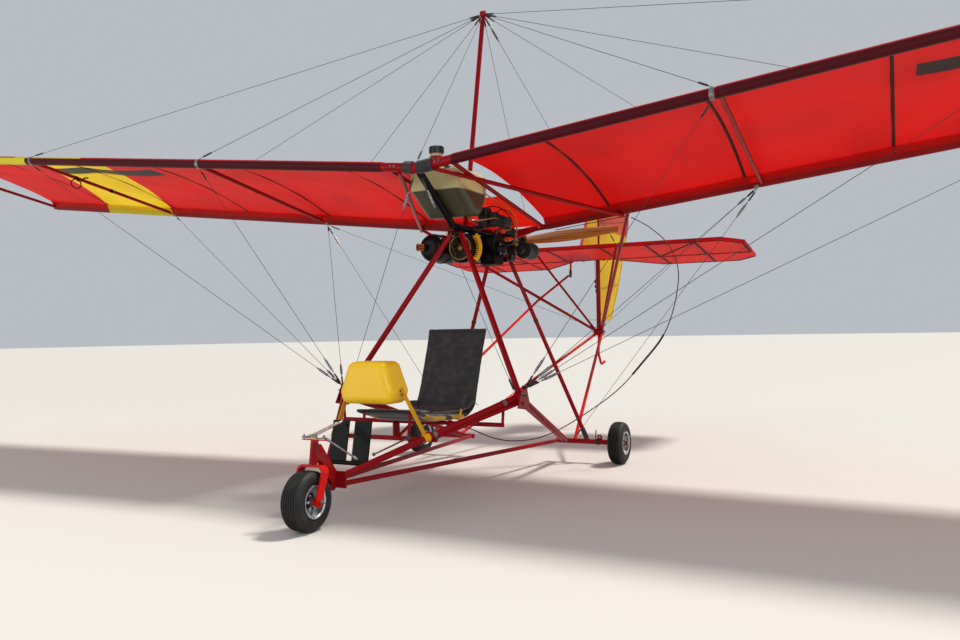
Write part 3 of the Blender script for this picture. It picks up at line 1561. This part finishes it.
# Seat
@dataclass
class Seat(Dress):
    """The padded seat: canvas over foam, puffed up by a cloth simulation, with sewn channels."""

    half: float = 0.205
    thick: float = 0.018
    voxel: float = 0.008
    pressure: float = 4.0
    limit: float = 0.008
    steps: int = 20
    channel_gap: float = 0.115
    channel_depth: float = 0.0045
    channel_width: float = 0.008
    side_channel: float = 0.150
    middle: Sequence[Flat] = ((0.689, 0.492), (0.877, 0.431), (1.245, 0.409), (1.346, 0.461), (1.513, 0.928))

    def middle_line(self) -> list[Flat]:
        """Points every 10 mm along the seat's middle, its corners eased.

        Returns:
            Pairs of a place aft and a height, in metres.
        """
        fine: list[Flat] = []
        for (y0, z0), (y1, z1) in zip(self.middle, self.middle[1:]):
            count = max(2, round(math.hypot(y1 - y0, z1 - z0) / 0.010))
            fine += [(y0 + (y1 - y0) * i / count, z0 + (z1 - z0) * i / count) for i in range(count)]
        fine.append(self.middle[-1])
        eased = []
        for index in range(len(fine)):
            reach = min(4, index, len(fine) - 1 - index)
            near = fine[index - reach:index + reach + 1]
            eased.append((sum(p[0] for p in near) / len(near), sum(p[1] for p in near) / len(near)))
        return eased

    def build(self) -> None:
        """Make the pad, let it swell, sew it and dress it."""
        path = self.middle_line()
        pad = plate("padded_seat", spread(-self.half, self.half, 36), range(len(path)),
                    lambda x, step: (x, path[int(step)][0] - MID_Y, path[int(step)][1]), self.thick)
        modify(pad, "REMESH", mode="VOXEL", voxel_size=self.voxel)
        self.swell(pad)
        self.sew(pad, path)
        smooth(modify(pad, "SUBSURF", levels=1, render_levels=1), 80)
        self.fit("padded_seat", [pad], Slot.BLACK_WEBBING)
        self.shop.paint(pad, Slot.BLACK_WEBBING, Webbing("yellow_coated_canvas", "D9B212", 0.6), more=True)
        for face in pad.data.polygons:
            aft = face.center.y + MID_Y
            yellow = abs(face.center.x) > self.side_channel and (0.76 < aft < 0.99 or 1.06 < aft < 1.20)
            face.material_index = int(yellow)
        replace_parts(pad, "seat")

    def swell(self, pad: Piece) -> None:
        """Puff the pad up under pressure and cap how far each point moves.

        Args:
            pad: The flat pad.
        """
        rest = [point.co.copy() for point in pad.data.vertices]
        select(pad)
        cloth = pad.modifiers.new("Cloth", "CLOTH")
        cloth.settings.use_pressure = True
        cloth.settings.uniform_pressure_force = self.pressure
        cloth.settings.effector_weights.gravity = 0
        cloth.settings.quality = 4
        cloth.point_cache.frame_start, cloth.point_cache.frame_end = 1, self.steps
        for frame in range(1, self.steps + 1):
            bpy.context.scene.frame_set(frame)
        bpy.ops.object.modifier_apply(modifier=cloth.name)
        bpy.context.scene.frame_set(1)
        for point, start in zip(pad.data.vertices, rest):
            moved = point.co - start
            if moved.length > self.limit:
                point.co = start + moved * (self.limit / moved.length)

    def sew(self, pad: Piece, path: Sequence[Flat]) -> None:
        """Pull the sewn channels in: across the seat, and along both sides.

        Args:
            pad: The swollen pad.
            path: The seat's middle line.
        """
        runs = [0.0]
        for first, second in zip(path, path[1:]):
            runs.append(runs[-1] + math.dist(first, second))
        for point in pad.data.vertices:
            aft, up, out = point.co.y + MID_Y, point.co.z, abs(point.co.x)
            nearest = min(range(len(path)), key=lambda i: (path[i][0] - aft) ** 2 + (path[i][1] - up) ** 2)
            phase = runs[nearest] % self.channel_gap
            gaps = (min(phase, self.channel_gap - phase), abs(out - self.side_channel))
            depth = max(math.exp(-(gap / self.channel_width) ** 2) for gap in gaps)
            toward = Vector((0, path[nearest][0] - aft, path[nearest][1] - up))
            if out < self.half - 0.004 and toward.length > 1e-6:
                point.co += toward.normalized() * self.channel_depth * depth


# Cockpit
@dataclass
class Cockpit(Dress):
    """Lap belts, lever grip, pod screws, pedal treads and rail clamps."""

    rail_nose: Point = (52, 214, 224)
    rail_end: Point = (579, 1127, 544)

    def on_rail(self, share: float) -> Vector:
        """A point on the port seat rail's axis, in metres."""
        return spot(*self.rail_nose).lerp(spot(*self.rail_end), share)

    def build(self) -> None:
        """Add the cockpit's small parts."""
        self.belts()
        self.fittings()
        lean = math.radians(12)
        ribs = [block("rib", (side * 0.066, 0.3327 - MID_Y + high * math.sin(lean) + 0.0062,
                              0.2656 + high * math.cos(lean)), (0.084, 0.004, 0.008), 0.0015, 1, (-12, 0, 0))
                for side in SIDES for high in (0.040 + 0.025 * step for step in range(7))]
        self.fit("pedal_treads", ribs, Slot.CABLE_RUBBER)
        outline = [(0, 0.0062), (0, 0.010), (0.006, 0.0125), (0.05, 0.0115), (0.094, 0.013), (0.104, 0.009),
                   (0.106, 0)]
        grip = turned("grip", outline, row(254, 1065, 470), (12, 40, 120), 28)
        self.fit("lever_grip", [grip], Slot.BLACK_PLASTIC)

    def belts(self) -> None:
        """Two webbing halves of a lap belt, laid over the seat, and their buckle."""
        path = ((226, 1322, 470), (204, 1306, 486), (188, 1270, 462), (150, 1220, 440), (84, 1160, 438),
                (36, 1120, 440))
        rest = [spot(*p) for p in path]
        made = []
        for side in SIDES:
            def place(u: float, v: float, side: int = side) -> Point:
                """A point of the strap.

                Args:
                    u: The place across it.
                    v: The place along its path, one for each stretch.
                    side: 1 for the port half, -1 for the other.

                Returns:
                    The point.
                """
                step = min(int(v), len(rest) - 2)
                run = (rest[step + 1] - rest[step]).normalized()
                at = rest[step].lerp(rest[step + 1], v - step) + run.cross(Vector((0, 0, 1))).normalized() * u
                return side * at.x, at.y, at.z + 0.003 * math.sin(2.2 * v)

            along = spread(0, len(rest) - 1.001, 40)
            made.append(plate("strap", spread(-0.024, 0.024, 4), along, place, 0.0022))
        self.fit("lap_belts", made, Slot.BLACK_WEBBING)
        buckle = block("buckle", row(0, 1098, 445), (0.075, 0.052, 0.012), 0.004, 3, (-4, 0, 0))
        tongue = block("tongue", row(0, 1098, 452), (0.040, 0.034, 0.006), 0.002, 2, (-4, 0, 0))
        self.fit("belt_buckle", [buckle, tongue], Slot.STEEL)

    def fittings(self) -> None:
        """Screws of the pod's bars, saddle clamps on the seat rails and bolts at the corner fittings."""
        foot, top = self.on_rail(0.44), spot(157, 579, 624)
        way, run = (top - foot).normalized(), spot(*self.rail_end) - spot(*self.rail_nose)
        screws, clamps = [], []
        for side in SIDES:
            for seat in (top - way * 0.018, top - way * 0.040):
                screws.append(bolt((side * seat.x, seat.y - 0.016, seat.z), (0, -1, 0), 0.010, 0.002))
            screws.append(bolt((side * foot.x, foot.y - 0.020, foot.z - 0.014), (0, -1, -0.3), 0.012, 0.008))
            for at in (self.on_rail(0.485), self.on_rail(0.90)):
                clamps.append(clip((side * at.x, at.y, at.z), (side * run.x, run.y, run.z), 0.0172, 0.020))
            for y, z in ((1112, 560), (1150, 548), (1128, 505), (1160, 590)):
                clamps.append(bolt(row(side * 604.6, y, z), (side, 0, 0), 0.015, 0.006))
        self.fit("pod_screws", screws, Slot.STEEL)
        self.fit("rail_clamps", clamps, Slot.STEEL)


# Steering
@dataclass
class Steering(Dress):
    """The plate, rod ends and rods between the nose leg and the pedals."""

    stem: Point = (0, 0.14, 0.99)
    rod_radius: float = 0.005

    def build(self) -> None:
        """Add the steering's small parts."""
        top = block("steering_plate", row(0, 69, 420.5), (0.062, 0.034, 0.005), 0.0016, 2, (-8, 0, 0))
        self.fit("steering_plate", [top], Slot.STEEL, ZINC_PLATE, "nose_leg")
        made = [bolt(row(0, 69, 423), self.stem, 0.022, 0.006)]
        for side in SIDES:
            made += [rod_end(row(side * 57, 62, 424), self.stem),
                     bolt(row(side * 57, 62, 429), self.stem, 0.011, 0.004),
                     bolt(row(side * 86.3, 0, 140), (side, 0, 0), 0.019, 0.008)]
        self.fit("steering_ends", made, Slot.STEEL, body="nose_leg")
        for name, start, end in (("upper_rod", (-46, 74, 424), (-60, 330, 462)),
                                 ("inner_rod", (-18, 78, 426), (-30, 326, 470)),
                                 ("lower_rod", (57, 74, 421), (101, 262, 300))):
            self.rod(name, row(*start), row(*end))
        floor_rod = [hose("rod", [row(176, 300, 322), row(190, 600, 366)], 0.0045, False, 3),
                     bolt(row(176, 296, 322), (0, -1, 0), 0.014, 0.002),
                     bolt(row(190, 603, 366), (0, 1, 0.15), 0.014, 0.002)]
        self.fit("pedal_rod", floor_rod, Slot.STEEL)
        bends = ((22, 60, 425), (34, 40, 416), (40, 26, 380), (50, 22, 344), (64, 32, 330), (72, 44, 344),
                 (66, 50, 362))
        loop = hose("loop", (row(*p) for p in bends), 0.0022)
        self.fit("fork_cable", [loop], Slot.CABLE_RUBBER, body="nose_leg")

    def rod(self, name: str, start: Point, end: Point) -> None:
        """A rod that follows the leg at one end and the frame at the other.

        Args:
            name: The rod's name.
            start: Its end on the leg.
            end: Its end on the frame.
        """
        ahead = Vector(end) - Vector(start)

        def place(turn: float, share: float) -> Point:
            """A point on the rod's skin."""
            x, z = polar(self.rod_radius, turn)
            return Vector(start) + ahead * share + Vector((x, 0, z))

        sleeve = [(0, 0), (0, 0.0062), (0.022, 0.0075), (0.026, 0.0052), (0.026, 0)]
        made = [mend(cloth_grid(name, spread(0, math.tau, 12), spread(0, 1, 12), place)),
                turned("end", sleeve, start, ahead, 16), turned("end", sleeve, end, -ahead, 16)]
        piece = self.shop.paint(smooth(joined(name, made), 50), Slot.STEEL,
                                SpunAlloy("bright_zinc_plated_rod", "C4C6C8", 0.3))
        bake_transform(piece)


# Rigging
@dataclass
class Rigging(Dress):
    """Extra stays, and the sleeves and turnbuckles on all of them."""

    wire: float = 0.0015

    def le(self, x: float, up: float) -> Vector:
        """A point above or below the leading tube."""
        return Vector((x, LE_Y, LE_Z + RISE * abs(x) + up * 0.033))

    def te(self, x: float, up: float) -> Vector:
        """A point above or below the trailing tube."""
        return Vector((x, TE_Y, TE_Z + RISE * abs(x) + up * 0.026))

    def build(self) -> None:
        """Add the extra stays and dress every end."""
        head = spot(0, 1953, 3030)
        main, extra = [], []
        for side in SIDES:
            corner, apart = spot(side * 604, 1135, 582), Vector((side * 0.006, 0, 0))
            for x in CLAMPS:
                for end in (self.le, self.te):
                    main += [(corner, end(side * x, -1)), (head, end(side * x, 1))]
            low = self.te(side * CLAMPS[0], -1)
            extra += [(low + apart, spot(side * 452, 2345, 160)), (low - apart, spot(side * 30, 4262, 905)),
                      (head, spot(side * 372, 3626, 1607))]
        extra += [(head, self.le(0.0, 1)), (spot(-20, 1050, 1815), spot(-560, 1127, 552)),
                  (spot(20, 1050, 1815), spot(560, 1127, 552))]
        wires = [hose("stay", pair, self.wire, False, 1) for pair in extra]
        trailing = (self.te(x, -1) + Vector((0, 0, -0.012)) for x in (0.30, 0.55, 0.82))
        wires.append(hose("trailing", trailing, 0.0028))
        self.fit("extra_stays", wires, Slot.STEEL, STAY_WIRE)
        sleeve = [(0.030, 0.0018), (0.030, 0.0046), (0.036, 0.0054), (0.088, 0.0054), (0.094, 0.0042),
                  (0.094, 0.0018)]
        sleeves = [turned("sleeve", sleeve, at, other - at, 12) for pair in main + extra
                   for at, other in (pair, pair[::-1])]
        self.fit("stay_sleeves", sleeves, Slot.BLACK_PLASTIC)
        buckle = [(0.108, 0.0018), (0.110, 0.0045), (0.128, 0.0048), (0.130, 0.0078), (0.198, 0.0078),
                  (0.200, 0.0048), (0.218, 0.0045), (0.220, 0.0018)]
        tight = main[::2] + extra[:4] + extra[-2:]
        self.fit("turnbuckles", [turned("buckle", buckle, at, end - at, 14) for at, end in tight], Slot.STEEL)


# Tail
@dataclass
class TailDress(Dress):
    """Hems and batten pockets on the tail surfaces, the fin's front tube and the elevator's horn fittings."""

    hinge: Flat = (4.160 - MID_Y, 1.528)
    chord: float = math.hypot(0.550, 0.064)
    pitch: float = math.asin(0.064 / 0.550)
    half: float = 1.385
    cut: float = 0.150
    stab_face: float = 0.013
    elevator_face: float = 0.010
    elevator_chord: float = 0.345
    rudder_face: float = 0.010

    def at(self, x: float, aft: float, up: float) -> Point:
        """A point in the tailplane's own chord plane."""
        y, z = self.hinge
        return (x, y + aft * math.cos(self.pitch) + up * math.sin(self.pitch),
                z - aft * math.sin(self.pitch) + up * math.cos(self.pitch))

    def tapes(self, runs: Sequence[tuple[Flat, Flat]], width: float, face: float,
              place: Callable[[float, float, float], Point]) -> list[Piece]:
        """Sewn tapes with a batten in each, laid on both faces of a flat surface.

        Args:
            runs: The two ends of each tape.
            width: Their width.
            face: How far both faces lie from the surface's middle.
            place: Gives a point from its place on the surface and its height over the middle.

        Returns:
            The tapes.
        """
        made = []
        for start, end in runs:
            along = Vector(end) - Vector(start)
            side = Vector((-along.y, along.x)).normalized()
            for lift in SIDES:
                def lay(u: float, v: float, start: Flat = start, along: Vector = along, side: Vector = side,
                        lift: int = lift) -> Point:
                    """A point of the tape, raised along its middle by the batten."""
                    flat = Vector(start) + along * v + side * u
                    return place(flat.x, flat.y, lift * (face + 0.0006 + 0.0028 * (1 - (2 * u / width) ** 2)))

                made.append(plate("tape", spread(-width / 2, width / 2, 4), spread(0, 1, 12), lay, 0.0009))
        return made

    def build(self) -> None:
        """Add the tail's small parts."""
        tip, nose, rear = self.half - 0.012, -self.chord + 0.013, -0.030
        low, aft = 0.026, self.elevator_chord - 0.012
        stab = [((0.0, nose), (tip - self.cut, nose)), ((tip - self.cut, nose), (tip, nose + self.cut)),
                ((tip, nose + self.cut), (tip, rear)), ((0.012, rear), (tip, rear)),
                ((0.235, nose), (0.235, rear)), ((0.62, nose), (0.62, rear)), ((0.62, rear), (1.02, nose)),
                ((1.02, nose), (1.02, rear))]
        moving = [((0.57, aft), (tip - self.cut, aft)), ((tip - self.cut, aft), (tip, aft - self.cut)),
                  ((0.205, low), (0.565, aft)), ((0.62, low), (0.62, aft)), ((1.02, low), (1.02, aft))]
        for name, runs, width, face, body in (
                ("stabiliser_tapes", stab, 0.022, self.stab_face, "airframe"),
                ("elevator_tapes", moving, 0.020, self.elevator_face, "elevator")):
            both = [((side * x0, y0), (side * x1, y1)) for side in SIDES for (x0, y0), (x1, y1) in runs]
            self.fit(name, self.tapes(both, width, face, self.at), Slot.RED_CLOTH, POCKET_TAPE, body)
        outline = [(4.630, 1.008), (4.866, 1.306), (5.256, 1.962), (5.210, 2.130), (4.345, 2.160)]
        runs = [*zip(outline, outline[1:]), ((4.345, 1.270), (4.850, 1.330)),
                ((4.345, 1.600), (5.050, 1.650)), ((4.345, 1.880), (5.200, 1.980))]
        hems = self.tapes(runs, 0.020, self.rudder_face, lambda y, z, x: (x, y - MID_Y, z))
        self.fit("rudder_tapes", hems, Slot.YELLOW_CLOTH,
                 TwoTone("yellow_hem_tape", "C4A018", 0.55, "E0C030", 0.2, 4.0, "C04A30", "D85A3C"), "rudder")
        self.fittings()

    def fittings(self) -> None:
        """The fin's front tube, horn sleeve, cable beads and the bolts of the tail joint."""
        front = hose("front", [self.at(0, -0.352, 0.026), row(0, 4168, 2124)], 0.0135, False, 3)
        self.fit("fin_front_tube", [front], Slot.RED_CLOTH,
                 Sailcloth("salmon_sleeve_cloth", "D85A4A", 0.5, "F08070", 0.3))
        horn = block("horn", self.at(-0.222, 0.013, -0.118), (0.013, 0.041, 0.066), 0.003, 2,
                     (-math.degrees(self.pitch), 0, 0))
        self.fit("horn_sleeve", [horn], Slot.BLACK_PLASTIC, body="elevator")
        beads = [row(0, 4200, 1330), row(3, 4200, 1284), row(8, 4200, 1244)]
        bead = [(-0.016, 0), (-0.014, 0.007), (0, 0.011), (0.014, 0.007), (0.016, 0)]
        made = [hose("bead_cable", [self.at(0.0, 0.03, -0.013), *beads, row(14, 4215, 1205)], 0.0016)]
        made += [turned("bead", bead, centre, (0.06, 0, 1), 16) for centre in beads]
        self.fit("cable_beads", made, Slot.BLACK_PLASTIC)
        bolts = []
        for side in SIDES:
            bolts.append(bolt(row(side * 39, 4279, 871), (side, 0, 0), 0.022, 0.012))
            bolts += [bolt(self.at(side * 0.022, aft, 0.028), (side, 0, 0), 0.010, 0.004)
                      for aft in (-0.090, -0.050)]
        self.fit("tail_bolts", bolts, Slot.STEEL)


# Frame
@dataclass
class FrameDress(Dress):
    """Sleeves, hooks and clips on the frame's tubes, and the ring on the starboard strut."""

    strut_x: float = -3.370

    def strut(self, share: float) -> Vector:
        """A point on the starboard mid strut's axis."""
        return spot(1000 * self.strut_x, 1047 + 1401 * share, 1848 - 116 * self.strut_x - 237 * share)

    def build(self) -> None:
        """Add the frame's small parts."""
        run, seat = self.strut(1) - self.strut(0), self.strut(0.285)
        ring = [(0.045 * math.cos(turn), -0.046 + 0.036 * math.sin(turn)) for turn in spread(0, math.tau, 24)]
        lever = [(0.010, -0.020), (0.045, -0.018), (0.085, 0.020), (0.110, 0.014)]
        made = [hose("bent_wire", (seat + Vector((0, y, z)) for y, z in bend), radius)
                for bend, radius in ((ring, 0.0045), (lever, 0.006))]
        made += [clip(seat, run, 0.0135, 0.024), clip(self.strut(0.52), run, 0.0135, 0.030)]
        self.fit("strut_ring", made, Slot.BLACK_METAL)
        sleeves = []
        hook = ((0.052, 0.020, -0.004), (0.056, 0.034, 0.026), (0.060, 0.020, 0.060))
        foot_sleeve = [(0.026, 0.0138), (0.026, 0.0165), (0.092, 0.0165), (0.096, 0.0156), (0.096, 0.0138)]
        for side in SIDES:
            top, foot = spot(side * 540, 2345, 157), spot(side * 549, 2345, 140)
            head = spot(side * 30, 2120, 1518)
            sleeves += [turned("axle_clip", band(-0.012, 0.012, 0.0173, 0.0205), row(side * 620, 2345, 140),
                               (1, 0, 0), 28),
                        hose("axle_hook", (top + Vector((side * x, y, z)) for x, y, z in hook), 0.0035),
                        turned("tube_foot", foot_sleeve, foot, head - foot, 28),
                        clip(foot + (head - foot) * 0.60, head - foot, 0.0139, 0.022)]
        self.fit("axle_clips", sleeves, Slot.BLACK_PLASTIC)


def main() -> None:
    """Load the frame, dress it and report each part."""
    logging.basicConfig(level=logging.INFO, format="%(name)s: %(message)s")
    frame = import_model()
    Studio().build()
    shop = PaintShop(frame["record"])
    ControlCable(shop).build()
    shop.paint_nodes(frame["nodes"])
    axle_y = 2.345 - MID_Y
    wheels = [Wheel(shop, "nose", 0.0, -MID_Y, 1, 0.108), Wheel(shop, "port", 0.768, axle_y, 1, 0.098),
              Wheel(shop, "starboard", -0.768, axle_y, -1, 0.098)]
    for step in (Wing(shop).build, *(wheel.tyre for wheel in wheels), Engine(shop).build,
                 TankDress(shop).build, Seat(shop).build, Cockpit(shop).build, Steering(shop).build,
                 *(wheel.rim for wheel in wheels), Rigging(shop).build, TailDress(shop).build,
                 FrameDress(shop).build):
        step()
        LOG.info("%s", step.__qualname__)
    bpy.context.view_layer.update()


if __name__ == "__main__":
    main()
